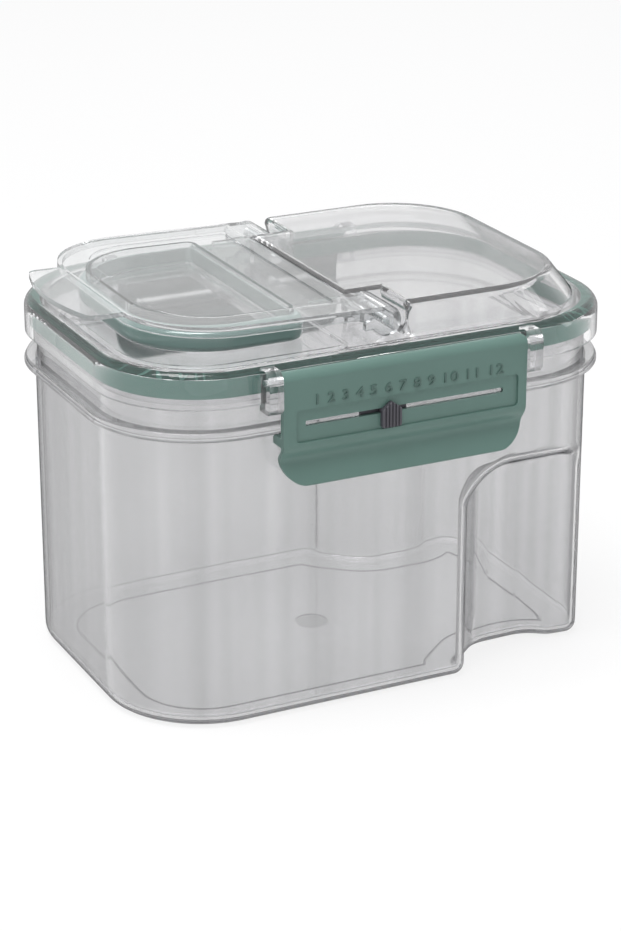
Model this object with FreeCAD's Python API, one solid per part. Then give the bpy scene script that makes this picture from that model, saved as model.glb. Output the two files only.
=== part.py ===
import FreeCAD, Part
import math
import os

from FreeCAD import Vector

# Food storage box with a latched lid, a flip-up pour cover and date sliders.
# Millimetres. +X runs along the long side, away from the pour cover, +Y to
# the back and +Z up. The origin is on the underside, at the middle of the body.

# Container
wall_half_length = 99.8
wall_half_width = 68.4
wall_corner_radius = 40.0
wall_thickness = 2.0
floor_thickness = 2.4
foot_round = 5.0
floor_round = 3.0
flange_low = 114.7
lower_bead_thickness = 1.7
upper_bead_thickness = 1.6
lower_bead_reach = 4.2
upper_bead_reach = 3.6
bead_round = 0.6
neck_height = 12.1
neck_inset = 0.8

# Grip recess, one at the front and one at the back
grip_length = 65.5
grip_step_depth = 8.0
grip_ramp_length = 14.7
grip_ramp_depth = 20.6
grip_floor_inset = 28.3
grip_depth = 21.2
grip_exit_inset = 20.3
grip_exit_depth = 15.4
grip_mouth_overreach = 0.2
grip_mouth_depth = 13.6
grip_left_round = 5.0
grip_ramp_round = 14.0
grip_floor_round = 14.0
grip_exit_round = 12.0
grip_height = 85.8
grip_arch_radius = 22.0
grip_arch_overreach = 2.0
grip_arch_end_inset = 6.8
grip_arch_end_radius = 14.0
grip_roof_drop = 10.0
grip_roof_round = 4.0
grip_mouth_round = 5.0

# Underside groove and the mark of the filling point inside
base_groove_inset = 13.5
base_groove_width = 0.9
base_groove_depth = 0.5
gate_radius = 6.5
gate_depth = 0.3

# Lid
lid_end_overhang = 2.7
lid_side_overhang = 3.9
lid_corner_growth = 1.0
lid_thickness = 2.0
lid_height = 13.9
skirt_gap = 8.9
shoulder_round = 4.5
channel_roof_drop = 3.1
inner_ring_thickness = 1.6
inner_ring_gap = 0.7

# Sealing ring in the lid's channel
gasket_gap = 0.3
gasket_lift = 0.4
gasket_edge_round = 0.6

# Raised fixed half of the lid
plateau_height = 12.6
plateau_side_inset = 10.2
plateau_end_inset = 7.5
plateau_end_lean = 10.5
plateau_corner_shrink = 5.0
plateau_round = 3.0
tongue_reach = 7.5
tongue_round = 2.2

# Sunk pocket around the pour mouth
pocket_depth = 1.0
pocket_inset = 9.6
pocket_right_gap = 9.5
pocket_right_radius = 5.0

# Cover hinge
hinge_x = 1.0
knuckle_deck_gap = 0.4
knuckle_top_rise = 0.2
knuckle_notch_gap = 2.9
hinge_side_gap = 0.5
hinge_pin_radius = 1.5
hinge_pin_clearance = 0.05
hinge_boss_length = 5.0
hinge_boss_radius = 3.4
hinge_pin_end_gap = 1.2

# Flip-up pour cover
cover_side_inset = 10.8
cover_left_inset = 12.2
cover_corner_shrink = 7.0
cover_back_gap = 1.2
cover_drop = 1.0
cover_thickness = 2.2
cover_rim_depth = 4.2
cover_rim_thickness = 1.8
cover_tilt = 1.2
cover_panel_inset = 12.0
cover_panel_right_inset = 6.3
cover_panel_depth = 0.6
cover_panel_corner = 3.0
arm_width = 20.5
arm_wall = 2.4
arm_reach = 14.0

# Thumb tab on the cover's free end
tab_half_width = 30.5
tab_shoulder = 12.7
tab_bulge = 5.3
tab_root = 18.7
tab_thickness = 1.9
tab_corner_radius = 3.5

# Pour mouth, its collar and the ring that closes it
seal_left_inset = 3.8
seal_right_gap = 9.4
seal_side_inset = 11.0
seal_right_radius = 7.0
seal_thickness = 3.2
seal_top_gap = 1.8
seal_lift = 0.3
seal_edge_round = 2.4
seal_wall_thickness = 1.6
seal_wall_gap = 0.9
collar_gap = 1.2
collar_thickness = 1.8
collar_height = 3.0

# Latches, front and rear alike
latch_centre_x = 0.7
latch_end_inset = 11.7
latch_pivot_reach = 2.9
latch_pivot_drop = 5.0
latch_barrel_radius = 3.3
latch_barrel_clearance = 0.4
latch_plate_thickness = 2.4
latch_scoop_gap = 0.5
latch_scoop_height = 5.0
latch_scoop_depth = 3.7
latch_lip_height = 10.4
latch_lip_flare = 3.1
latch_bend_radius = 4.0
latch_corner_radius = 12.0
latch_top_corner = 1.5
latch_tight_bend = 0.8
latch_step = 0.8
hook_thickness = 3.6
hook_clearance = 0.4
hook_wall_gap = 1.2
hook_chamfer = 1.2
latch_pin_radius = 1.25
latch_pin_clearance = 0.05

# Clear ears that carry each latch
ear_gap = 0.4
ear_thickness = 5.6
ear_radius = 4.6
ear_drop = 2.4
ear_chamfer = 1.8

# Date slider in each latch
frame_left_margin = 5.1
frame_right_margin = 3.5
frame_low_gap = 2.1
frame_top_drop = 11.0
frame_depth = 0.8
frame_corner_radius = 1.5
slot_left_margin = 9.1
slot_right_margin = 9.5
slot_drop = 5.6
slot_height = 2.0
slot_corner_radius = 0.5
slot_clearance = 0.05
slider_rest_offset = -6.7
slider_width = 8.0
slider_low_gap = 0.5
slider_tip_gap = 2.1
slider_point_height = 3.0
slider_depth = 1.9
slider_gap = 0.1
slider_groove_count = 5
slider_groove_width = 0.7
slider_groove_depth = 0.5
slider_edge_round = 0.4
slider_corner_radius = 1.0
clip_left_reach = 11.2
clip_right_reach = 7.5
clip_height = 6.6
clip_thickness = 1.2

# One overrun for every cut, and two distances that help to find edges
overrun = 5.0
match_tolerance = 0.001
edge_search_depth = 0.3
edge_sample_count = 5

# Heights that follow from the sizes above
flange_top = flange_low + lower_bead_thickness + upper_bead_thickness
rim_height = flange_top + neck_height
skirt_low = flange_top + skirt_gap
deck_top = skirt_low + lid_height
deck_under = deck_top - lid_thickness
channel_roof = deck_top - channel_roof_drop
gasket_low = rim_height + gasket_lift
plateau_top = deck_top + plateau_height
pocket_floor = deck_top - pocket_depth
cover_top = plateau_top - cover_drop
knuckle_radius = (cover_top + knuckle_top_rise - deck_top - knuckle_deck_gap) / 2
knuckle_notch_radius = knuckle_radius + knuckle_notch_gap
hinge_z = deck_top + knuckle_deck_gap + knuckle_radius
seal_low = pocket_floor + seal_lift
seal_top = cover_top - cover_thickness - seal_top_gap
latch_pivot_z = deck_top - latch_pivot_drop
latch_scoop_start = flange_low - hook_clearance - hook_thickness - latch_scoop_gap
latch_scoop_z = latch_scoop_start - latch_scoop_height
latch_low = latch_scoop_z - latch_lip_height
ear_low = skirt_low - ear_drop
frame_low = latch_scoop_start + frame_low_gap
frame_high = latch_pivot_z - frame_top_drop
slot_centre_z = frame_high - slot_drop
slider_low = frame_low + slider_low_gap
slider_tip = frame_high - slider_tip_gap
slider_shoulder = slider_tip - slider_point_height

# Places along X and Y that follow from the sizes above
grip_left = wall_half_length - grip_length
lid_half_length = wall_half_length + lid_end_overhang
lid_half_width = wall_half_width + lid_side_overhang
lid_corner_radius = wall_corner_radius + lid_corner_growth
plateau_corner_radius = lid_corner_radius - plateau_corner_shrink
cover_half_width = lid_half_width - cover_side_inset
cover_left = cover_left_inset - lid_half_length
cover_left_radius = lid_corner_radius - cover_corner_shrink
tongue_half_width = cover_half_width - arm_width
tongue_left = hinge_x - tongue_reach
cover_right = tongue_left - cover_back_gap
pocket_right = tongue_left - pocket_right_gap
seal_left = cover_left + seal_left_inset
seal_right = pocket_right - seal_right_gap
seal_half_width = cover_half_width - seal_side_inset
latch_half_length = lid_half_length - lid_corner_radius - latch_end_inset
latch_left = latch_centre_x - latch_half_length
latch_right = latch_centre_x + latch_half_length
pivot_y = -(lid_half_width + latch_pivot_reach)
latch_face_y = pivot_y - latch_barrel_radius
latch_back_y = latch_face_y + latch_plate_thickness
frame_floor_y = latch_face_y + frame_depth
slider_rest_x = latch_centre_x + slider_rest_offset


class Outline:
    """Rounded rectangle seen from above, symmetric about the X axis."""

    def __init__(self, left, right, half_width, left_radius, right_radius):
        self.left = left
        self.right = right
        self.half_width = half_width
        self.left_radius = left_radius
        self.right_radius = right_radius

    def inset(self, distance):
        return Outline(
            self.left + distance,
            self.right - distance,
            self.half_width - distance,
            max(self.left_radius - distance, 0.0),
            max(self.right_radius - distance, 0.0),
        )

    def prism(self, low, high, lean=0):
        """Block over the outline; with a lean, it moves left on its way up."""
        corners = [
            (self.left, -self.half_width, low),
            (self.right, -self.half_width, low),
            (self.right, self.half_width, low),
            (self.left, self.half_width, low),
        ]
        radii = [self.left_radius, self.right_radius, self.right_radius, self.left_radius]
        return rounded_face(corners, radii).extrude(Vector(-lean, 0, high - low))

    def ring(self, inner, low, high):
        """Upright ring between this outline and a smaller one."""
        return self.prism(low, high).cut(inner.prism(low - overrun, high + overrun))


def rounded_face(points, radii):
    """Flat face through the points, each corner rounded by its own radius."""
    corners = []
    for index, radius in enumerate(radii):
        corner = Vector(*points[index])
        before = (Vector(*points[index - 1]) - corner).normalize()
        after = (Vector(*points[(index + 1) % len(points)]) - corner).normalize()
        if radius == 0:
            corners.append((corner, None, corner))
            continue
        half_angle = before.getAngle(after) / 2
        reach = radius / math.tan(half_angle)
        inward = (before + after).normalize()
        middle = corner + inward * (radius / math.sin(half_angle) - radius)
        corners.append((corner + before * reach, middle, corner + after * reach))
    edges = []
    for index, (start, middle, end) in enumerate(corners):
        if middle is not None:
            edges.append(Part.Arc(start, middle, end).toShape())
        following = corners[(index + 1) % len(corners)][0]
        if following.distanceToPoint(end) > match_tolerance:
            edges.append(Part.LineSegment(end, following).toShape())
    return Part.Face(Part.Wire(edges))


def box(x_range, y_range, z_range):
    corner = Vector(x_range[0], y_range[0], z_range[0])
    return Part.makeBox(
        x_range[1] - x_range[0], y_range[1] - y_range[0], z_range[1] - z_range[0], corner
    )


def rod_x(radius, left, right, y, z):
    return Part.makeCylinder(radius, right - left, Vector(left, y, z), Vector(1, 0, 0))


def rod_y(radius, low, high, x, z):
    return Part.makeCylinder(radius, high - low, Vector(x, low, z), Vector(0, 1, 0))


def edges_at_height(shape, height):
    return [
        edge
        for edge in shape.Edges
        if abs(edge.BoundBox.ZMin - height) < match_tolerance
        and abs(edge.BoundBox.ZMax - height) < match_tolerance
    ]


def mirrored(shape):
    return shape.mirror(Vector(0, 0, 0), Vector(0, 1, 0))


def turned_round(shape):
    turned = shape.copy()
    turned.rotate(Vector(0, 0, 0), Vector(0, 0, 1), 180)
    return turned


wall_outline = Outline(
    -wall_half_length, wall_half_length, wall_half_width, wall_corner_radius, wall_corner_radius
)
lid_outline = Outline(
    -lid_half_length, lid_half_length, lid_half_width, lid_corner_radius, lid_corner_radius
)
ring_outline = wall_outline.inset(wall_thickness + inner_ring_gap)
seal_outline = Outline(
    seal_left, seal_right, seal_half_width, cover_left_radius, seal_right_radius
)


def grip_hollow(growth):
    """Front grip recess, grown on all sides by one distance."""
    front = -wall_half_width
    outside = front - 2 * overrun
    right = wall_half_length + grip_mouth_overreach
    low = -overrun
    plan = [
        (grip_left, outside, low),
        (grip_left, front + grip_step_depth, low),
        (grip_left + grip_ramp_length, front + grip_ramp_depth, low),
        (wall_half_length - grip_floor_inset, front + grip_depth, low),
        (wall_half_length - grip_exit_inset, front + grip_exit_depth, low),
        (right, front + grip_mouth_depth, low),
        (right, outside, low),
    ]
    rounds = [0, grip_left_round, grip_ramp_round, grip_floor_round, grip_exit_round, 0, 0]
    plan_face = rounded_face(plan, rounds)
    if growth > 0:
        plan_face = plan_face.makeOffset2D(growth)
    column = plan_face.extrude(Vector(0, 0, grip_height + 3 * overrun))
    roof_slope = grip_roof_drop / grip_depth
    roof = grip_height + growth + roof_slope * 2 * overrun
    arch_left = grip_left - grip_arch_overreach - growth
    arch_right = wall_half_length - grip_arch_end_inset + growth
    arch = [
        (arch_left, outside, low),
        (arch_left, outside, roof),
        (arch_right, outside, roof),
        (arch_right, outside, low),
    ]
    radii = [0, grip_arch_radius + growth, grip_arch_end_radius + growth, 0]
    depth = grip_depth + growth + 3 * overrun
    lean = Vector(0, depth, -roof_slope * depth)
    arch_solid = rounded_face(arch, radii).extrude(lean)
    return column.common(arch_solid)


def grip_cut(growth):
    """Front grip hollow with the edges of its roof rounded."""
    hollow = grip_hollow(growth)
    roof_low = grip_height - grip_arch_radius - grip_roof_drop
    behind = -wall_half_width + wall_thickness / 2
    side = grip_left - growth + match_tolerance
    roof_edges = []
    for edge in hollow.Edges:
        bounds = edge.BoundBox
        if bounds.ZMin < roof_low or bounds.ZMax > grip_height:
            continue
        behind_wall = bounds.YMin > behind and bounds.YLength < grip_depth
        if behind_wall or bounds.XMax < side:
            roof_edges.append(edge)
    return hollow.makeFillet(grip_roof_round, roof_edges)


def mouth_edges(shape, depth):
    """Edges where the grip recesses break through a wall face at one depth."""
    core = wall_outline.inset(depth + edge_search_depth).prism(-overrun, grip_height + overrun)
    chosen = []
    for edge in shape.Edges:
        bounds = edge.BoundBox
        if bounds.XMin < grip_left - depth - match_tolerance or bounds.ZMax < foot_round:
            continue
        if bounds.ZMax > grip_height + depth + match_tolerance:
            continue
        if edge.Degenerated or edge.Length < match_tolerance:
            continue
        spots = edge.discretize(edge_sample_count)
        if not any(core.isInside(spot, match_tolerance, True) for spot in spots):
            chosen.append(edge)
    return chosen


def base_panel(distance):
    """Middle of the underside, one distance inside its walls all round."""
    panel = wall_outline.inset(distance).prism(-overrun, base_groove_depth)
    hollow = grip_hollow(distance)
    return panel.cut(hollow).cut(mirrored(hollow))


def make_container():
    outer = wall_outline.prism(0, flange_low)
    front_grip = grip_cut(0)
    outer = outer.cut(front_grip).cut(mirrored(front_grip))
    outer = outer.makeFillet(grip_mouth_round, mouth_edges(outer, 0))
    outer = outer.makeFillet(foot_round, edges_at_height(outer, 0))
    lower_bead = wall_outline.inset(-lower_bead_reach).prism(
        flange_low, flange_low + lower_bead_thickness
    )
    lower_bead = lower_bead.makeFillet(bead_round, edges_at_height(lower_bead, flange_low))
    upper_bead = wall_outline.inset(-upper_bead_reach).prism(
        flange_low + lower_bead_thickness, flange_top
    )
    upper_bead = upper_bead.makeFillet(bead_round, edges_at_height(upper_bead, flange_top))
    neck_outline = wall_outline.inset(neck_inset)
    neck = neck_outline.prism(flange_top, rim_height)
    neck = neck.makeFillet(bead_round, edges_at_height(neck, rim_height))
    outer = outer.fuse([lower_bead, upper_bead, neck])

    inner = wall_outline.inset(wall_thickness).prism(floor_thickness, rim_height + overrun)
    inner_grip = grip_cut(wall_thickness)
    inner = inner.cut(inner_grip).cut(mirrored(inner_grip))
    inner_round = grip_mouth_round - wall_thickness
    inner = inner.makeFillet(inner_round, mouth_edges(inner, wall_thickness))
    inner = inner.makeFillet(floor_round, edges_at_height(inner, floor_thickness))
    groove = base_panel(base_groove_inset).cut(base_panel(base_groove_inset + base_groove_width))
    gate = Part.makeCylinder(
        gate_radius, gate_depth + overrun, Vector(0, 0, floor_thickness - gate_depth)
    )
    return outer.cut(inner.fuse(gate)).cut(groove).removeSplitter()


def make_ear(left):
    """Front ear: a bar on the skirt with a round top about the latch pin."""
    right = left + ear_thickness
    root = -(lid_half_width - lid_thickness / 2)
    head = rod_x(ear_radius, left, right, pivot_y, latch_pivot_z)
    bar = [
        (left, pivot_y - ear_radius, latch_pivot_z),
        (left, pivot_y - ear_radius, ear_low + ear_chamfer),
        (left, pivot_y - ear_radius + ear_chamfer, ear_low),
        (left, root, ear_low),
        (left, root, latch_pivot_z + ear_radius),
        (left, pivot_y, latch_pivot_z + ear_radius),
        (left, pivot_y, latch_pivot_z),
    ]
    face = rounded_face(bar, [0] * len(bar))
    return head.fuse(face.extrude(Vector(ear_thickness, 0, 0)))


def make_lid():
    outer = lid_outline.prism(skirt_low, deck_top)
    outer = outer.makeFillet(shoulder_round, edges_at_height(outer, deck_top))
    notch_x = hinge_x + knuckle_radius
    plateau_outline = Outline(
        hinge_x,
        lid_half_length - plateau_end_inset,
        lid_half_width - plateau_side_inset,
        0.0,
        plateau_corner_radius,
    )
    plateau = leaning_block(plateau_outline, deck_under, deck_top, plateau_top)
    tongue = box(
        (tongue_left, notch_x + overrun),
        (-tongue_half_width, tongue_half_width),
        (deck_under, plateau_top),
    )
    notch = rod_y(knuckle_notch_radius, tongue_half_width, lid_half_width, hinge_x, hinge_z)
    plateau = plateau.cut(notch).cut(mirrored(notch)).fuse(tongue).removeSplitter()
    plateau = plateau.makeFillet(tongue_round, top_left_edges(plateau))
    plateau = plateau.makeFillet(plateau_round, outline_edges(plateau, plateau_outline))

    pocket = Outline(
        -(lid_half_length - pocket_inset),
        pocket_right,
        lid_half_width - pocket_inset,
        lid_corner_radius - pocket_inset,
        pocket_right_radius,
    ).prism(pocket_floor, deck_top + overrun)
    outer = outer.cut(pocket)
    collar_outline = seal_outline.inset(seal_thickness + collar_gap)
    collar = collar_outline.prism(deck_under - pocket_depth, pocket_floor + collar_height)
    front_ears = [make_ear(latch_left - ear_gap - ear_thickness), make_ear(latch_right + ear_gap)]
    ears = front_ears + [turned_round(ear) for ear in front_ears]
    pocket_tray = Outline(
        -(lid_half_length - pocket_inset + lid_thickness),
        pocket_right + lid_thickness,
        lid_half_width - pocket_inset + lid_thickness,
        lid_corner_radius - pocket_inset + lid_thickness,
        pocket_right_radius + lid_thickness,
    ).prism(deck_under - pocket_depth, deck_under)

    hollow = lid_outline.inset(lid_thickness).prism(skirt_low - overrun, channel_roof)
    ring_inner = ring_outline.inset(inner_ring_thickness)
    inner_ring = ring_outline.ring(ring_inner, skirt_low, channel_roof)
    middle = ring_inner.prism(channel_roof, deck_under)
    room = plateau_room(plateau_outline)
    mouth = collar_outline.inset(collar_thickness).prism(skirt_low, deck_top + overrun)

    shell = outer.cut(hollow).cut(middle).fuse([inner_ring, plateau, collar, pocket_tray] + ears)
    shell = shell.cut(room).cut(mouth)
    return bore_lid(shell.fuse(hinge_bosses())).removeSplitter()


def leaning_block(outline, foot, low, high):
    """Block whose right end leans back above one height."""
    lean = plateau_end_lean
    straight_end = outline.right - outline.right_radius - lean
    upright = Outline(
        outline.left, straight_end, outline.half_width, outline.left_radius, 0.0
    ).prism(low, high)
    leaning = Outline(
        outline.left + lean, outline.right, outline.half_width, 0.0, outline.right_radius
    ).prism(low, high, lean)
    return outline.prism(foot, low).fuse([upright, leaning]).removeSplitter()


def plateau_room(plateau_outline):
    """Hollow under the raised half and under its hinge tongue."""
    notch_wall = hinge_x + knuckle_notch_radius + lid_thickness
    shrunk = plateau_outline.inset(lid_thickness)
    room_outline = Outline(
        notch_wall, shrunk.right, shrunk.half_width, lid_thickness, shrunk.right_radius
    )
    main = leaning_block(
        room_outline,
        deck_under - pocket_depth - overrun,
        deck_top - lid_thickness,
        plateau_top - lid_thickness,
    )
    under_tongue = box(
        (tongue_left + lid_thickness, notch_wall + lid_thickness),
        (lid_thickness - tongue_half_width, tongue_half_width - lid_thickness),
        (deck_under - pocket_depth - overrun, plateau_top - lid_thickness),
    )
    return main.fuse(under_tongue)


def hinge_bosses():
    wall_inside = tongue_half_width - lid_thickness
    boss = rod_y(hinge_boss_radius, wall_inside - hinge_boss_length, wall_inside, hinge_x, hinge_z)
    return [boss, mirrored(boss)]


def hinge_pin_span():
    start = tongue_half_width - lid_thickness - hinge_boss_length
    return start, cover_half_width - hinge_pin_end_gap


def bore_lid(shell):
    start, end = hinge_pin_span()
    bore = rod_y(hinge_pin_radius, start, end, hinge_x, hinge_z)
    pin_left, pin_right = latch_pin_span()
    latch_bore = rod_x(latch_pin_radius, pin_left, pin_right, pivot_y, latch_pivot_z)
    barrel_room = rod_x(
        latch_barrel_radius + latch_barrel_clearance,
        latch_left - ear_gap,
        latch_right + ear_gap,
        pivot_y,
        latch_pivot_z,
    )
    cuts = [bore, mirrored(bore), latch_bore, barrel_room]
    return shell.cut(cuts + [turned_round(latch_bore), turned_round(barrel_room)])


def top_left_edges(plateau):
    """Top edges on the tongue and along the hinge notch."""
    limit = hinge_x + knuckle_notch_radius
    return [
        edge
        for edge in edges_at_height(plateau, plateau_top)
        if edge.BoundBox.XMax < limit
    ]


def outline_edges(plateau, plateau_outline):
    """Top edges along the sides and the right end."""
    limit = hinge_x + knuckle_notch_radius
    side = plateau_outline.half_width - match_tolerance
    right = plateau_outline.right - plateau_end_lean - match_tolerance
    chosen = []
    for edge in edges_at_height(plateau, plateau_top):
        bounds = edge.BoundBox
        at_side = bounds.YMax > side or bounds.YMin < -side
        if bounds.XMax > limit and (at_side or bounds.XMax > right):
            chosen.append(edge)
    return chosen


def make_gasket():
    outer = lid_outline.inset(lid_thickness + gasket_gap)
    ring = outer.ring(ring_outline.inset(-gasket_gap), gasket_low, channel_roof)
    return ring.makeFillet(gasket_edge_round, edges_at_height(ring, gasket_low))


def cover_shell():
    """Level cover plate with its rim, arms, knuckles and thumb tab."""
    outline = Outline(cover_left, cover_right, cover_half_width, cover_left_radius, 0.0)
    plate = outline.prism(cover_top - cover_thickness, cover_top)
    rim = outline.ring(
        outline.inset(cover_rim_thickness), cover_top - cover_rim_depth, cover_top
    )
    rim = rim.cut(
        box(
            (cover_right - cover_rim_thickness, cover_right + overrun),
            (-tongue_half_width, tongue_half_width),
            (cover_top - cover_rim_depth - overrun, cover_top + overrun),
        )
    )
    arm = cover_arm()
    solid = plate.fuse([rim, cover_tab(), arm, mirrored(arm)]).removeSplitter()
    panel = Outline(
        cover_left + cover_panel_inset,
        cover_right - cover_panel_right_inset,
        cover_half_width - cover_panel_inset,
        cover_left_radius - cover_panel_inset,
        cover_panel_corner,
    ).prism(cover_top - cover_panel_depth, cover_top + overrun)
    return solid.cut(panel)


def cover_arm():
    """Rear arm: a hollow finger that ends in a knuckle around the hinge pin."""
    near = tongue_half_width + hinge_side_gap
    knuckle = rod_y(knuckle_radius, near, cover_half_width, hinge_x, hinge_z)
    low = cover_top - cover_rim_depth
    bar = box((cover_right - arm_reach, hinge_x), (near, cover_half_width), (low, cover_top))
    web_low = hinge_z - knuckle_radius / 2
    web = box((cover_right, hinge_x), (near, cover_half_width), (web_low, cover_top))
    arm = knuckle.fuse([bar, web])
    inside_y = (near + arm_wall, cover_half_width - arm_wall)
    room = rod_y(knuckle_radius - cover_thickness, inside_y[0], inside_y[1], hinge_x, hinge_z)
    below = box(
        (cover_right - arm_reach - overrun, hinge_x),
        inside_y,
        (hinge_z - knuckle_radius - overrun, cover_top - cover_thickness),
    )
    front_room = box(
        (hinge_x, hinge_x + knuckle_radius - cover_thickness),
        inside_y,
        (hinge_z - knuckle_radius - overrun, hinge_z),
    )
    bore = rod_y(
        hinge_pin_radius + hinge_pin_clearance,
        near - overrun,
        cover_half_width - hinge_pin_end_gap + hinge_side_gap,
        hinge_x,
        hinge_z,
    )
    return arm.cut([room, below, front_room, bore])


def cover_tab():
    low = cover_top - tab_thickness
    left = cover_left - tab_shoulder
    corner = tab_corner_radius
    right = cover_left + tab_root
    start = Vector(left, -tab_half_width, low)
    peak = Vector(left - tab_bulge, 0, low)
    end = Vector(left, tab_half_width, low)
    rear = Vector(right, tab_half_width, low)
    front = Vector(right, -tab_half_width, low)
    edges = [
        Part.Arc(start, peak, end).toShape(),
        Part.LineSegment(end, rear).toShape(),
        Part.LineSegment(rear, front).toShape(),
        Part.LineSegment(front, start).toShape(),
    ]
    plate = Part.Face(Part.Wire(edges)).extrude(Vector(0, 0, tab_thickness))
    tips = [
        edge
        for edge in plate.Edges
        if edge.BoundBox.ZLength > tab_thickness / 2 and edge.BoundBox.XMax < left + corner / 2
    ]
    plate = plate.makeFillet(corner, tips)
    inside = Outline(
        cover_left, hinge_x, cover_half_width, cover_left_radius, 0.0
    ).inset(cover_rim_thickness).prism(low - overrun, cover_top + overrun)
    return plate.cut(inside)


def make_cover():
    shell = cover_shell()
    shell.rotate(Vector(hinge_x, 0, hinge_z), Vector(0, 1, 0), cover_tilt)
    wall_low = pocket_floor + collar_height + seal_wall_gap
    wall_outside = seal_outline.inset(seal_thickness)
    wall = wall_outside.ring(
        wall_outside.inset(seal_wall_thickness), wall_low, cover_top + overrun
    )
    under_plate = box(
        (cover_left - overrun, tongue_left),
        (-cover_half_width, cover_half_width),
        (deck_under, cover_top - cover_thickness / 2 - cover_panel_depth),
    )
    under_plate.rotate(Vector(hinge_x, 0, hinge_z), Vector(0, 1, 0), cover_tilt)
    return shell.fuse(wall.common(under_plate)).removeSplitter()


def make_seal():
    ring = seal_outline.ring(seal_outline.inset(seal_thickness), seal_low, seal_top)
    outer_edges = [
        edge
        for edge in edges_at_height(ring, seal_low) + edges_at_height(ring, seal_top)
        if on_outline(edge, seal_outline)
    ]
    return ring.makeFillet(seal_edge_round, outer_edges)


def on_outline(edge, outline):
    """True for an edge outside the outline's inset by half the ring's thickness."""
    core = outline.inset(seal_thickness / 2).prism(
        edge.BoundBox.ZMin - overrun, edge.BoundBox.ZMax + overrun
    )
    middle = edge.valueAt((edge.FirstParameter + edge.LastParameter) / 2)
    return not core.isInside(middle, match_tolerance, True)


def make_hinge_pin():
    start, end = hinge_pin_span()
    return rod_y(hinge_pin_radius, start, end, hinge_x, hinge_z)


def latch_pin_span():
    return latch_left - ear_gap - ear_thickness, latch_right + ear_gap + ear_thickness


def make_latch_pin():
    left, right = latch_pin_span()
    return rod_x(latch_pin_radius, left, right, pivot_y, latch_pivot_z)


def latch_plate():
    """Side profile of the front latch, swept along X."""
    face = latch_face_y
    back = latch_back_y
    thick = latch_plate_thickness
    scoop = face + latch_scoop_depth
    lip = scoop - latch_lip_flare
    profile = [
        (latch_left, face, latch_pivot_z),
        (latch_left, face, latch_scoop_start),
        (latch_left, scoop, latch_scoop_z),
        (latch_left, lip, latch_low),
        (latch_left, lip + thick, latch_low),
        (latch_left, scoop + thick, latch_scoop_z),
        (latch_left, back, latch_scoop_start - latch_step),
        (latch_left, back, latch_pivot_z),
    ]
    bend = latch_bend_radius
    tight = latch_tight_bend
    radii = [0, bend + thick, bend, tight, tight, bend + thick, bend, 0]
    length = Vector(latch_right - latch_left, 0, 0)
    return rounded_face(profile, radii).extrude(length)


def latch_hook():
    top = flange_low - hook_clearance
    tip = -(wall_half_width + hook_wall_gap)
    root = latch_back_y - latch_plate_thickness / 2
    profile = [
        (latch_left, root, top),
        (latch_left, tip - hook_chamfer, top),
        (latch_left, tip, top - hook_chamfer),
        (latch_left, tip, top - hook_thickness),
        (latch_left, root, top - hook_thickness),
    ]
    face = rounded_face(profile, [0] * len(profile))
    return face.extrude(Vector(latch_right - latch_left, 0, 0))


def front_prism(corners, radii, y_from, y_to):
    """Prism along Y from an outline given in X and Z."""
    points = [(x, y_from, z) for x, z in corners]
    return rounded_face(points, radii).extrude(Vector(0, y_to - y_from, 0))


def rectangle(left, right, low, high):
    return [(left, low), (right, low), (right, high), (left, high)]


def make_latch():
    barrel = rod_x(latch_barrel_radius, latch_left, latch_right, pivot_y, latch_pivot_z)
    solid = latch_plate().fuse([barrel, latch_hook()]).removeSplitter()
    top = latch_pivot_z + latch_barrel_radius
    mask = front_prism(
        rectangle(latch_left, latch_right, latch_low, top),
        [latch_corner_radius, latch_corner_radius, latch_top_corner, latch_top_corner],
        latch_face_y - overrun,
        -wall_half_width,
    )
    solid = solid.common(mask)
    frame = front_prism(
        rectangle(
            latch_left + frame_left_margin, latch_right - frame_right_margin, frame_low, frame_high
        ),
        [frame_corner_radius] * 4,
        latch_face_y - overrun,
        frame_floor_y,
    )
    slot = front_prism(
        rectangle(
            latch_left + slot_left_margin,
            latch_right - slot_right_margin,
            slot_centre_z - slot_height / 2,
            slot_centre_z + slot_height / 2,
        ),
        [slot_corner_radius] * 4,
        latch_face_y - overrun,
        latch_back_y + overrun,
    )
    bore = rod_x(
        latch_pin_radius + latch_pin_clearance,
        latch_left - overrun,
        latch_right + overrun,
        pivot_y,
        latch_pivot_z,
    )
    return solid.cut([frame, slot, bore])


def make_slider():
    """Pointed button on the latch's face with its stem in the slot."""
    half = slider_width / 2
    outer_y = frame_floor_y - slider_gap - slider_depth
    points = [
        (slider_rest_x - half, slider_low),
        (slider_rest_x + half, slider_low),
        (slider_rest_x + half, slider_shoulder),
        (slider_rest_x, slider_tip),
        (slider_rest_x - half, slider_shoulder),
    ]
    radii = [slider_corner_radius] * len(points)
    button = front_prism(points, radii, outer_y, frame_floor_y - slider_gap)
    button = button.makeFillet(slider_edge_round, face_edges(button, outer_y))
    stem_half = slot_height / 2 - slot_clearance
    stem = box(
        (slider_rest_x - half + slider_gap, slider_rest_x + half - slider_gap),
        (frame_floor_y - slider_gap, latch_back_y + slider_gap),
        (slot_centre_z - stem_half, slot_centre_z + stem_half),
    )
    grooves = []
    pitch = slider_width / (slider_groove_count + 1)
    for number in range(slider_groove_count):
        left = slider_rest_x - half + pitch * (number + 1) - slider_groove_width / 2
        grooves.append(
            box(
                (left, left + slider_groove_width),
                (outer_y - overrun, outer_y + slider_groove_depth),
                (slider_low - overrun, slider_tip + overrun),
            )
        )
    return button.cut(grooves).fuse(stem)


def face_edges(shape, y):
    return [
        edge
        for edge in shape.Edges
        if abs(edge.BoundBox.YMin - y) < match_tolerance
        and abs(edge.BoundBox.YMax - y) < match_tolerance
    ]


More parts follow.
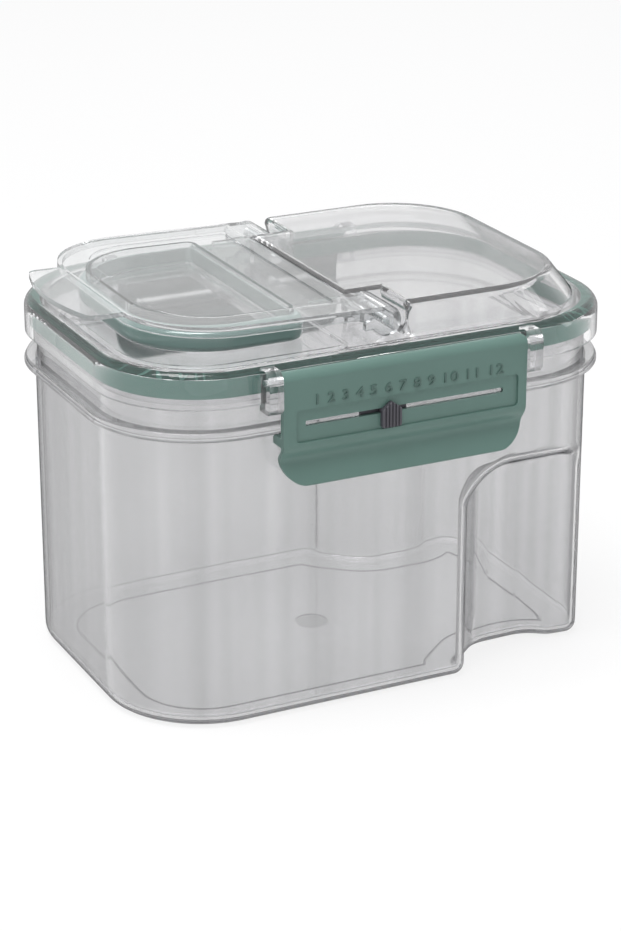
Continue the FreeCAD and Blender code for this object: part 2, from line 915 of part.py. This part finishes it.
def make_clip():
    near = latch_back_y + slider_gap
    return box(
        (slider_rest_x - clip_left_reach, slider_rest_x + clip_right_reach),
        (near, near + clip_thickness),
        (slot_centre_z - clip_height / 2, slot_centre_z + clip_height / 2),
    )


def build_nodes():
    latch = make_latch()
    slider = make_slider()
    clip = make_clip()
    latch_pin = make_latch_pin()
    hinge_pin = make_hinge_pin()
    return {
        "container_body": make_container(),
        "lid_shell": make_lid(),
        "lid_gasket": make_gasket(),
        "flip_cover": make_cover(),
        "spout_seal": make_seal(),
        "cover_pin_front": mirrored(hinge_pin),
        "cover_pin_rear": hinge_pin,
        "front_latch": latch,
        "rear_latch": turned_round(latch),
        "front_latch_pin": latch_pin,
        "rear_latch_pin": turned_round(latch_pin),
        "front_date_slider": slider,
        "rear_date_slider": turned_round(slider),
        "front_slider_clip": clip,
        "rear_slider_clip": turned_round(clip),
    }


os.makedirs("parts", exist_ok=True)
for name, shape in build_nodes().items():
    print(name, shape.isValid(), len(shape.Solids), round(shape.Volume, 1))
    shape.exportStep("parts/" + name + ".step")
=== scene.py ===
import math

import bpy
from mathutils import Matrix, Vector


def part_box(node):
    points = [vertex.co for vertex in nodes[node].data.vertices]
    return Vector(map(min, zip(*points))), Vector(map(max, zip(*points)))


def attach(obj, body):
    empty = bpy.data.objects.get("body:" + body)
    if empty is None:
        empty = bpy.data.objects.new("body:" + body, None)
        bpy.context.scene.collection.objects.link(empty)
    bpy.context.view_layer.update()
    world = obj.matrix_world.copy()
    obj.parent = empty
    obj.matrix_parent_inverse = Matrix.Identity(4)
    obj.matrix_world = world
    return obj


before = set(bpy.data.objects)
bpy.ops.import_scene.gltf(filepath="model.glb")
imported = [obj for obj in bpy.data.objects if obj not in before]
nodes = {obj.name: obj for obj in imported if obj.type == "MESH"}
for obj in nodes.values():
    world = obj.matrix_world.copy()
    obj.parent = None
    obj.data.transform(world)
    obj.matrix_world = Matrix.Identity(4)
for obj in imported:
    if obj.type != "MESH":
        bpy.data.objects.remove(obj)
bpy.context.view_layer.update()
scene = bpy.context.scene

# Lengths are in metres, and those of the numbers in millimetres times MM
MM = 0.001

# Heights in the body's base where painted shade, a darker tint, lies on the groove under the floor and on
# the gate pit, so that these fine marks show
BASE_TOP = 0.00241
GROOVE_ROOF = 0.0005
PIT_FLOOR = 0.0021
HEIGHT_SLACK = 0.00003
STEEP_LIMIT = 0.6
PIT_SHADE_SHARE = 0.4

# Clear plastic
# Painted shade: near-black grey that the clear walls' colour darkens towards where they turn away from
# view
PAINTED_EDGE_SHADE = (0.15, 0.15, 0.16)
# Painted shade, a darker grey, laid on the base's groove and pit
PAINTED_GROOVE_SHADE = (0.16, 0.16, 0.17)
MOST_OPEN_SHARE = 0.92
CLEAR_SPECULAR = 0.35
CLEAR_COAT = 0.25
CLEAR_COAT_IOR = 1.4
CLEAR_COAT_ROUGHNESS = 0.02
FLOW_MIDDLE = 0.5
FLOW_DETAIL = 2.0
FLOW_HARSHNESS = 0.4
FLOW_ROUGHNESS = (0.01, 0.05)
FLOW_BUMP = 0.05
FLOW_DEPTH = 0.0003

# Moulded plastic and silicone
CLOUD_SCALE = 35.0
CLOUD_DETAIL = 4.0
GRAIN_DETAIL = 2.0
GRAIN_BUMP = 0.25
SMOOTHER = 0.04
ROUGHER = 0.05
MOULDED_IOR = 1.48

# Steel wire
STEEL_TINT = (0.6, 0.61, 0.62)
DRAWN_LINES = (40.0, 900.0, 900.0)
DRAWN_DETAIL = 2.0
STEEL_ROUGHNESS = (0.18, 0.34)
STEEL_BUMP = 0.1
STEEL_DEPTH = 0.00005

# Range of a noise's values that is spread over a material's own range
NOISE_LOW = 0.3
NOISE_HIGH = 0.7

# Sockets of the mix node, whose names repeat for each kind of value
FLOAT_A, FLOAT_B, FLOAT_RESULT = 2, 3, 0
COLOUR_A, COLOUR_B, COLOUR_RESULT = 6, 7, 2

# Numbers 1 to 12 on each latch: middle of each along X, then their size and height
NUMBER_PLACES = (-35.8, -30.2, -24.5, -18.7, -13.2, -7.1, -1.4, 4.6, 10.4, 18.0, 27.4, 37.1)
NUMBER_Z = 127.8 * MM
NUMBER_HEIGHT = 4.0 * MM
NUMBER_RISE = 0.35 * MM
NUMBER_THINNING = 0.02 * MM
NUMBER_BEVEL = 0.04 * MM
NUMBER_WIDTH_SHARE = 1.25
NUMBER_SPACING = 1.12
CAPITAL_SHARE = 0.73
BEVEL_STEPS = 1
CURVE_STEPS = 6

# Floor, world and lamps
FLOOR_REACH = 12.0
FLOOR_DROP = 0.0002
FLOOR_TINT = (0.9, 0.9, 0.9)
FLOOR_ROUGHNESS = 0.8
FLOOR_GLOW_SHARE = 0.8
WHITE = (1.0, 1.0, 1.0)
WORLD_LEVELS = ((0.0, (0.50, 0.50, 0.50)), (0.45, (0.38, 0.38, 0.39)), (1.0, (0.70, 0.70, 0.71)))
LAMP_AIM = (0.0, 0.0, 0.08)
LAMPS = (
    ("top", (-0.4, -0.2, 1.45), (0.8, 0.6), 18.0),
    ("right", (1.2, -0.7, 0.5), (0.25, 0.9), 2.5),
    ("back", (0.5, 1.2, 0.9), (0.9, 0.3), 2.0),
)

# Camera
CAMERA_PLACE = (-0.4391, -0.8946, 0.4586)
CAMERA_TILT = 68.646
CAMERA_TURN = -26.144
LENS = 105.22
SENSOR_WIDTH = 36.0

# Bounces of light, enough for rays that cross several clear walls
CLEAR_BOUNCES = 32
GLOSSY_BOUNCES = 8


class Nodes:
    """Short ways to add nodes to one tree, set them and link them."""

    def __init__(self, tree):
        self.tree = tree

    def add(self, kind, **settings):
        node = self.tree.nodes.new(kind)
        for key, value in settings.items():
            setattr(node, key, value)
        return node

    def feed(self, target, value):
        """Link an output to an input, or set the input's own value."""
        if isinstance(value, bpy.types.NodeSocket):
            self.tree.links.new(value, target)
        elif isinstance(value, tuple) and target.type == "RGBA":
            target.default_value = (*value, 1.0)
        else:
            target.default_value = value

    def calculate(self, operation, *values):
        node = self.add("ShaderNodeMath", operation=operation)
        for target, value in zip(node.inputs, values):
            self.feed(target, value)
        return node.outputs[0]

    def object_place(self):
        return self.add("ShaderNodeTexCoord").outputs["Object"]

    def stretched(self, scale):
        """Object coordinates in metres, stretched by scale."""
        mapping = self.add("ShaderNodeMapping")
        self.feed(mapping.inputs["Scale"], scale)
        self.feed(mapping.inputs["Vector"], self.object_place())
        return mapping.outputs["Vector"]

    def noise(self, vector, scale, detail, harshness=0.5):
        node = self.add("ShaderNodeTexNoise")
        self.feed(node.inputs["Scale"], scale)
        self.feed(node.inputs["Detail"], detail)
        self.feed(node.inputs["Roughness"], harshness)
        self.feed(node.inputs["Vector"], vector)
        return node.outputs["Fac"]

    def spread(self, value, low, high, from_low=NOISE_LOW, from_high=NOISE_HIGH):
        """The value's range from from_low to from_high, laid over low to high."""
        node = self.add("ShaderNodeMapRange")
        self.feed(node.inputs["From Min"], from_low)
        self.feed(node.inputs["From Max"], from_high)
        self.feed(node.inputs["To Min"], low)
        self.feed(node.inputs["To Max"], high)
        self.feed(node.inputs["Value"], value)
        return node.outputs["Result"]

    def bump(self, height, strength, distance):
        node = self.add("ShaderNodeBump")
        self.feed(node.inputs["Strength"], strength)
        self.feed(node.inputs["Distance"], distance)
        self.feed(node.inputs["Height"], height)
        return node.outputs["Normal"]

    def blend(self, factor, first, second):
        """Colour between two colours."""
        node = self.add("ShaderNodeMix", data_type="RGBA")
        self.feed(node.inputs["Factor"], factor)
        self.feed(node.inputs[COLOUR_A], first)
        self.feed(node.inputs[COLOUR_B], second)
        return node.outputs[COLOUR_RESULT]

    def between(self, factor, first, second):
        """Number between two numbers."""
        node = self.add("ShaderNodeMix", data_type="FLOAT")
        self.feed(node.inputs["Factor"], factor)
        self.feed(node.inputs[FLOAT_A], first)
        self.feed(node.inputs[FLOAT_B], second)
        return node.outputs[FLOAT_RESULT]

    def height_of(self, vector):
        """The Z part of a vector."""
        parts = self.add("ShaderNodeSeparateXYZ")
        self.feed(parts.inputs[0], vector)
        return parts.outputs["Z"]

    def levelness(self):
        """One on level faces, down to zero on upright ones."""
        normal = self.add("ShaderNodeTexCoord").outputs["Normal"]
        return self.calculate("ABSOLUTE", self.height_of(normal))

    def painted_groove_shade(self, level):
        """Share of painted shade: one on the groove under the floor and the pit's rim, less on the pit's
        floor, else zero.
        """
        height = self.height_of(self.object_place())
        steep = self.calculate("LESS_THAN", level, STEEP_LIMIT)
        low = self.calculate("LESS_THAN", height, BASE_TOP)
        walls = self.calculate("MULTIPLY", steep, low)
        roof = self.calculate("COMPARE", height, GROOVE_ROOF, HEIGHT_SLACK)
        groove = self.calculate("MAXIMUM", walls, roof)
        pit = self.calculate("COMPARE", height, PIT_FLOOR, HEIGHT_SLACK)
        return self.calculate("MAXIMUM", groove, self.calculate("MULTIPLY", pit, PIT_SHADE_SHARE))

    def background_rays(self):
        """One for what the camera sees directly, mirrored or through a clear wall, else zero."""
        path = self.add("ShaderNodeLightPath")
        mirrored = self.calculate("MAXIMUM", path.outputs["Is Camera Ray"], path.outputs["Is Glossy Ray"])
        return self.calculate("MAXIMUM", mirrored, path.outputs["Is Transmission Ray"])

    def mix_shaders(self, factor, first, second):
        """The tree's surface, between two shaders."""
        mix = self.add("ShaderNodeMixShader")
        self.feed(mix.inputs[0], factor)
        self.feed(mix.inputs[1], first.outputs[0])
        self.feed(mix.inputs[2], second.outputs[0])
        self.feed(self.tree.nodes["Material Output"].inputs["Surface"], mix.outputs[0])

    def let_light_through(self, shader, tint_with_painted_shade, share):
        """Light for the pieces inside goes straight through, and so does a share of what is seen."""
        path = self.add("ShaderNodeLightPath")
        lighting = self.calculate("MAXIMUM", path.outputs["Is Shadow Ray"], path.outputs["Is Diffuse Ray"])
        open_wall = self.add("ShaderNodeBsdfTransparent")
        self.feed(open_wall.inputs["Color"], tint_with_painted_shade)
        self.mix_shaders(self.calculate("MAXIMUM", lighting, share), shader, open_wall)


def new_material(name):
    material = bpy.data.materials.new(name)
    material.use_nodes = True
    n = Nodes(material.node_tree)
    return material, n, n.tree.nodes["Principled BSDF"]


def clear_plastic(name, face, tone_and_streak_share, streaks, clear_share, bend, turn, with_painted_groove_shade=False):
    """Polished clear moulding with faint flow lines in gloss and relief, colour streaks on upright walls
    that on the body are painted reflections of tall lamps, painted shade that deepens where the wall turns
    away, and, when asked for, painted shade on the base's groove and pit.
    """
    material, n, shader = new_material(name)
    level = n.levelness()
    lines = n.noise(n.stretched(streaks), 1.0, FLOW_DETAIL, FLOW_HARSHNESS)
    # Streaks on upright walls: in gloss and relief the moulding's flow lines; in colour, on the body,
    # painted reflections of tall lamps, and on the lid and cover a random tone
    flow_and_painted_streaks = n.between(level, lines, FLOW_MIDDLE)
    tone_and_streak_band = tuple(tone_and_streak_share * part for part in face)
    toned_with_painted_streaks = n.blend(n.spread(flow_and_painted_streaks, 0.0, 1.0), face, tone_and_streak_band)
    weight = n.add("ShaderNodeLayerWeight")
    facing = weight.outputs["Facing"]
    # Painted shade: the colour darkens where the wall turns away from view, for the dark edges that clear
    # walls show
    tint_with_painted_shade = n.blend(n.spread(facing, 0.0, 1.0, *turn), toned_with_painted_streaks, PAINTED_EDGE_SHADE)
    # Painted shade on the base's groove and pit, when asked for
    if with_painted_groove_shade:
        tint_with_painted_shade = n.blend(n.painted_groove_shade(level), tint_with_painted_shade, PAINTED_GROOVE_SHADE)
    n.feed(shader.inputs["Base Color"], tint_with_painted_shade)
    n.feed(shader.inputs["Roughness"], n.spread(flow_and_painted_streaks, *FLOW_ROUGHNESS))
    n.feed(shader.inputs["Normal"], n.bump(flow_and_painted_streaks, FLOW_BUMP, FLOW_DEPTH))
    n.feed(shader.inputs["Transmission Weight"], clear_share)
    n.feed(shader.inputs["IOR"], bend)
    n.feed(shader.inputs["Specular IOR Level"], CLEAR_SPECULAR)
    n.feed(shader.inputs["Coat Weight"], CLEAR_COAT)
    n.feed(shader.inputs["Coat IOR"], CLEAR_COAT_IOR)
    n.feed(shader.inputs["Coat Roughness"], CLEAR_COAT_ROUGHNESS)
    # Where the wall turns away, a growing share is seen straight through in this colour with its painted
    # shade
    n.let_light_through(shader, tint_with_painted_shade, n.spread(facing, 0.0, MOST_OPEN_SHARE, *turn))
    return material


def moulded(name, colour, dark, roughness, grain=2600.0, depth=0.00004, coat=0.0):
    """Satin moulded plastic with a fine grain and slow changes of colour and gloss."""
    material, n, shader = new_material(name)
    place = n.stretched((1.0, 1.0, 1.0))
    cloud = n.noise(place, CLOUD_SCALE, CLOUD_DETAIL)
    fine = n.noise(place, grain, GRAIN_DETAIL)
    n.feed(shader.inputs["Base Color"], n.blend(n.spread(cloud, 0.0, 1.0), colour, dark))
    n.feed(shader.inputs["Roughness"], n.spread(cloud, roughness - SMOOTHER, roughness + ROUGHER))
    n.feed(shader.inputs["Normal"], n.bump(fine, GRAIN_BUMP, depth))
    n.feed(shader.inputs["IOR"], MOULDED_IOR)
    n.feed(shader.inputs["Coat Weight"], coat)
    return material


def drawn_steel(name):
    """Steel wire with fine lines along its length."""
    material, n, shader = new_material(name)
    lines = n.noise(n.stretched(DRAWN_LINES), 1.0, DRAWN_DETAIL)
    n.feed(shader.inputs["Metallic"], 1.0)
    n.feed(shader.inputs["Base Color"], STEEL_TINT)
    n.feed(shader.inputs["Roughness"], n.spread(lines, *STEEL_ROUGHNESS))
    n.feed(shader.inputs["Normal"], n.bump(lines, STEEL_BUMP, STEEL_DEPTH))
    return material


# Materials
clear_body = clear_plastic(
    "clear_body_plastic",
    face=(0.82, 0.82, 0.825),
    # Colour streaks here are painted reflections of tall lamps on the upright walls
    tone_and_streak_share=0.87,
    streaks=(110.0, 110.0, 1.5),
    clear_share=0.90,
    bend=1.42,
    turn=(0.58, 0.95),
    with_painted_groove_shade=True,
)
clear_lid = clear_plastic(
    "clear_lid_plastic",
    face=(0.945, 0.945, 0.95),
    tone_and_streak_share=0.95,
    streaks=(30.0, 30.0, 30.0),
    clear_share=0.98,
    bend=1.36,
    turn=(0.66, 0.97),
)
clear_cover = clear_plastic(
    "clear_cover_plastic",
    face=(0.90, 0.91, 0.915),
    tone_and_streak_share=0.94,
    streaks=(40.0, 25.0, 40.0),
    clear_share=0.98,
    bend=1.38,
    turn=(0.70, 0.97),
)
green = moulded("green_plastic", (0.105, 0.190, 0.165), (0.098, 0.178, 0.154), 0.36)
# Darker copy of the latch's green for the numerals: painted shade of their relief
green_painted_shade = moulded("green_painted_shade", (0.070, 0.128, 0.110), (0.064, 0.118, 0.101), 0.40)
seal_green = moulded(
    "green_silicone",
    (0.092, 0.225, 0.185),
    (0.084, 0.208, 0.171),
    0.26,
    grain=1800.0,
    depth=0.00003,
    coat=0.3,
)
# Lighter copy of the silicone green for the spout seal: painted sheen for the highlight on its rounded
# roll
spout_green_painted_sheen = moulded(
    "spout_silicone_painted_sheen",
    (0.200, 0.310, 0.285),
    (0.185, 0.290, 0.265),
    0.16,
    grain=1800.0,
    depth=0.00002,
    coat=1.0,
)
grey = moulded("grey_plastic", (0.075, 0.072, 0.085), (0.062, 0.060, 0.072), 0.42)
pin_metal = drawn_steel("pin_metal")

finishes = {
    "container_body": clear_body,
    "lid_shell": clear_lid,
    "flip_cover": clear_cover,
    "lid_gasket": seal_green,
    "spout_seal": spout_green_painted_sheen,
    "front_latch": green,
    "rear_latch": green,
    "front_date_slider": grey,
    "rear_date_slider": grey,
    "front_slider_clip": grey,
    "rear_slider_clip": grey,
    "cover_pin_front": pin_metal,
    "cover_pin_rear": pin_metal,
    "front_latch_pin": pin_metal,
    "rear_latch_pin": pin_metal,
}
for name, material in finishes.items():
    for material_slot in nodes[name].material_slots:
        material_slot.material = material


def number_mesh(label, x, face_y):
    """Raised numeral on the front latch's face."""
    curve = bpy.data.curves.new("numeral", "FONT")
    curve.body = label
    curve.align_x = "CENTER"
    curve.align_y = "CENTER"
    curve.size = NUMBER_HEIGHT / CAPITAL_SHARE
    curve.space_character = NUMBER_SPACING
    curve.offset = -NUMBER_THINNING
    curve.extrude = NUMBER_RISE
    curve.bevel_depth = NUMBER_BEVEL
    curve.bevel_resolution = BEVEL_STEPS
    curve.resolution_u = CURVE_STEPS
    holder = bpy.data.objects.new("numeral", curve)
    scene.collection.objects.link(holder)
    mesh = bpy.data.meshes.new_from_object(holder.evaluated_get(bpy.context.evaluated_depsgraph_get()))
    bpy.data.objects.remove(holder)
    wide = Matrix.Diagonal((NUMBER_WIDTH_SHARE, 1.0, 1.0, 1.0))
    upright = Matrix.Rotation(math.radians(90), 4, "X")
    mesh.transform(Matrix.Translation((x, face_y, NUMBER_Z)) @ upright @ wide)
    return mesh


# Numbers, the rear latch's turned half a turn about the middle
face_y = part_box("front_latch")[0].y
for side, turn in (("front", 0), ("rear", 180)):
    for index, x in enumerate(NUMBER_PLACES):
        mesh = number_mesh(str(index + 1), x * MM, face_y)
        mesh.transform(Matrix.Rotation(math.radians(turn), 4, "Z"))
        # The numerals are shaded by painting them a darker green than the latch
        mesh.materials.clear()
        mesh.materials.append(green_painted_shade)
        numeral = bpy.data.objects.new(side + "_numeral_" + str(index + 1), mesh)
        scene.collection.objects.link(numeral)
        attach(numeral, side + "_latch_body")


def pale_floor():
    """White where it is seen, with a share of plain matt surface that keeps the shadow."""
    material, n, shader = new_material("pale_floor")
    n.feed(shader.inputs["Base Color"], FLOOR_TINT)
    n.feed(shader.inputs["Roughness"], FLOOR_ROUGHNESS)
    glow = n.add("ShaderNodeEmission")
    n.feed(glow.inputs["Color"], WHITE)
    n.mix_shaders(n.calculate("MULTIPLY", n.background_rays(), FLOOR_GLOW_SHARE), shader, glow)
    return material


def studio_world():
    """Soft grey light from all round, seen as white."""
    world = bpy.data.worlds.new("studio")
    world.use_nodes = True
    scene.world = world
    n = Nodes(world.node_tree)
    ramp = n.add("ShaderNodeValToRGB")
    stops = ramp.color_ramp.elements
    stops.new(WORLD_LEVELS[1][0])
    for stop, (position, colour) in zip(stops, WORLD_LEVELS):
        stop.position = position
        stop.color = (*colour, 1.0)
    direction = n.add("ShaderNodeTexCoord").outputs["Generated"]
    n.feed(ramp.inputs[0], n.height_of(direction))
    background = n.tree.nodes["Background"]
    n.feed(background.inputs["Color"], n.blend(n.background_rays(), ramp.outputs["Color"], WHITE))
    n.feed(background.inputs["Strength"], 1.0)


def area_light(name, place, size, power):
    data = bpy.data.lights.new(name, "AREA")
    data.shape = "RECTANGLE"
    data.size, data.size_y = size
    data.energy = power
    lamp = bpy.data.objects.new(name, data)
    scene.collection.objects.link(lamp)
    lamp.location = place
    lamp.rotation_mode = "QUATERNION"
    lamp.rotation_quaternion = (Vector(LAMP_AIM) - Vector(place)).to_track_quat("-Z", "Y")


# Floor and light
floor_mesh = bpy.data.meshes.new("floor")
corners = [(x * FLOOR_REACH, y * FLOOR_REACH, 0) for x, y in ((-1, -1), (1, -1), (1, 1), (-1, 1))]
floor_mesh.from_pydata(corners, [], [(0, 1, 2, 3)])
floor_mesh.materials.append(pale_floor())
floor = bpy.data.objects.new("floor", floor_mesh)
scene.collection.objects.link(floor)
floor.location.z = -FLOOR_DROP
studio_world()
for lamp_values in LAMPS:
    area_light(*lamp_values)

# Camera
camera_data = bpy.data.cameras.new("camera")
camera_data.lens = LENS
camera_data.sensor_width = SENSOR_WIDTH
camera = bpy.data.objects.new("camera", camera_data)
scene.collection.objects.link(camera)
camera.location = CAMERA_PLACE
camera.rotation_euler = (math.radians(CAMERA_TILT), 0.0, math.radians(CAMERA_TURN))
scene.camera = camera

scene.view_settings.view_transform = "Standard"
scene.cycles.max_bounces = CLEAR_BOUNCES
scene.cycles.transmission_bounces = CLEAR_BOUNCES
scene.cycles.transparent_max_bounces = CLEAR_BOUNCES
scene.cycles.glossy_bounces = GLOSSY_BOUNCES
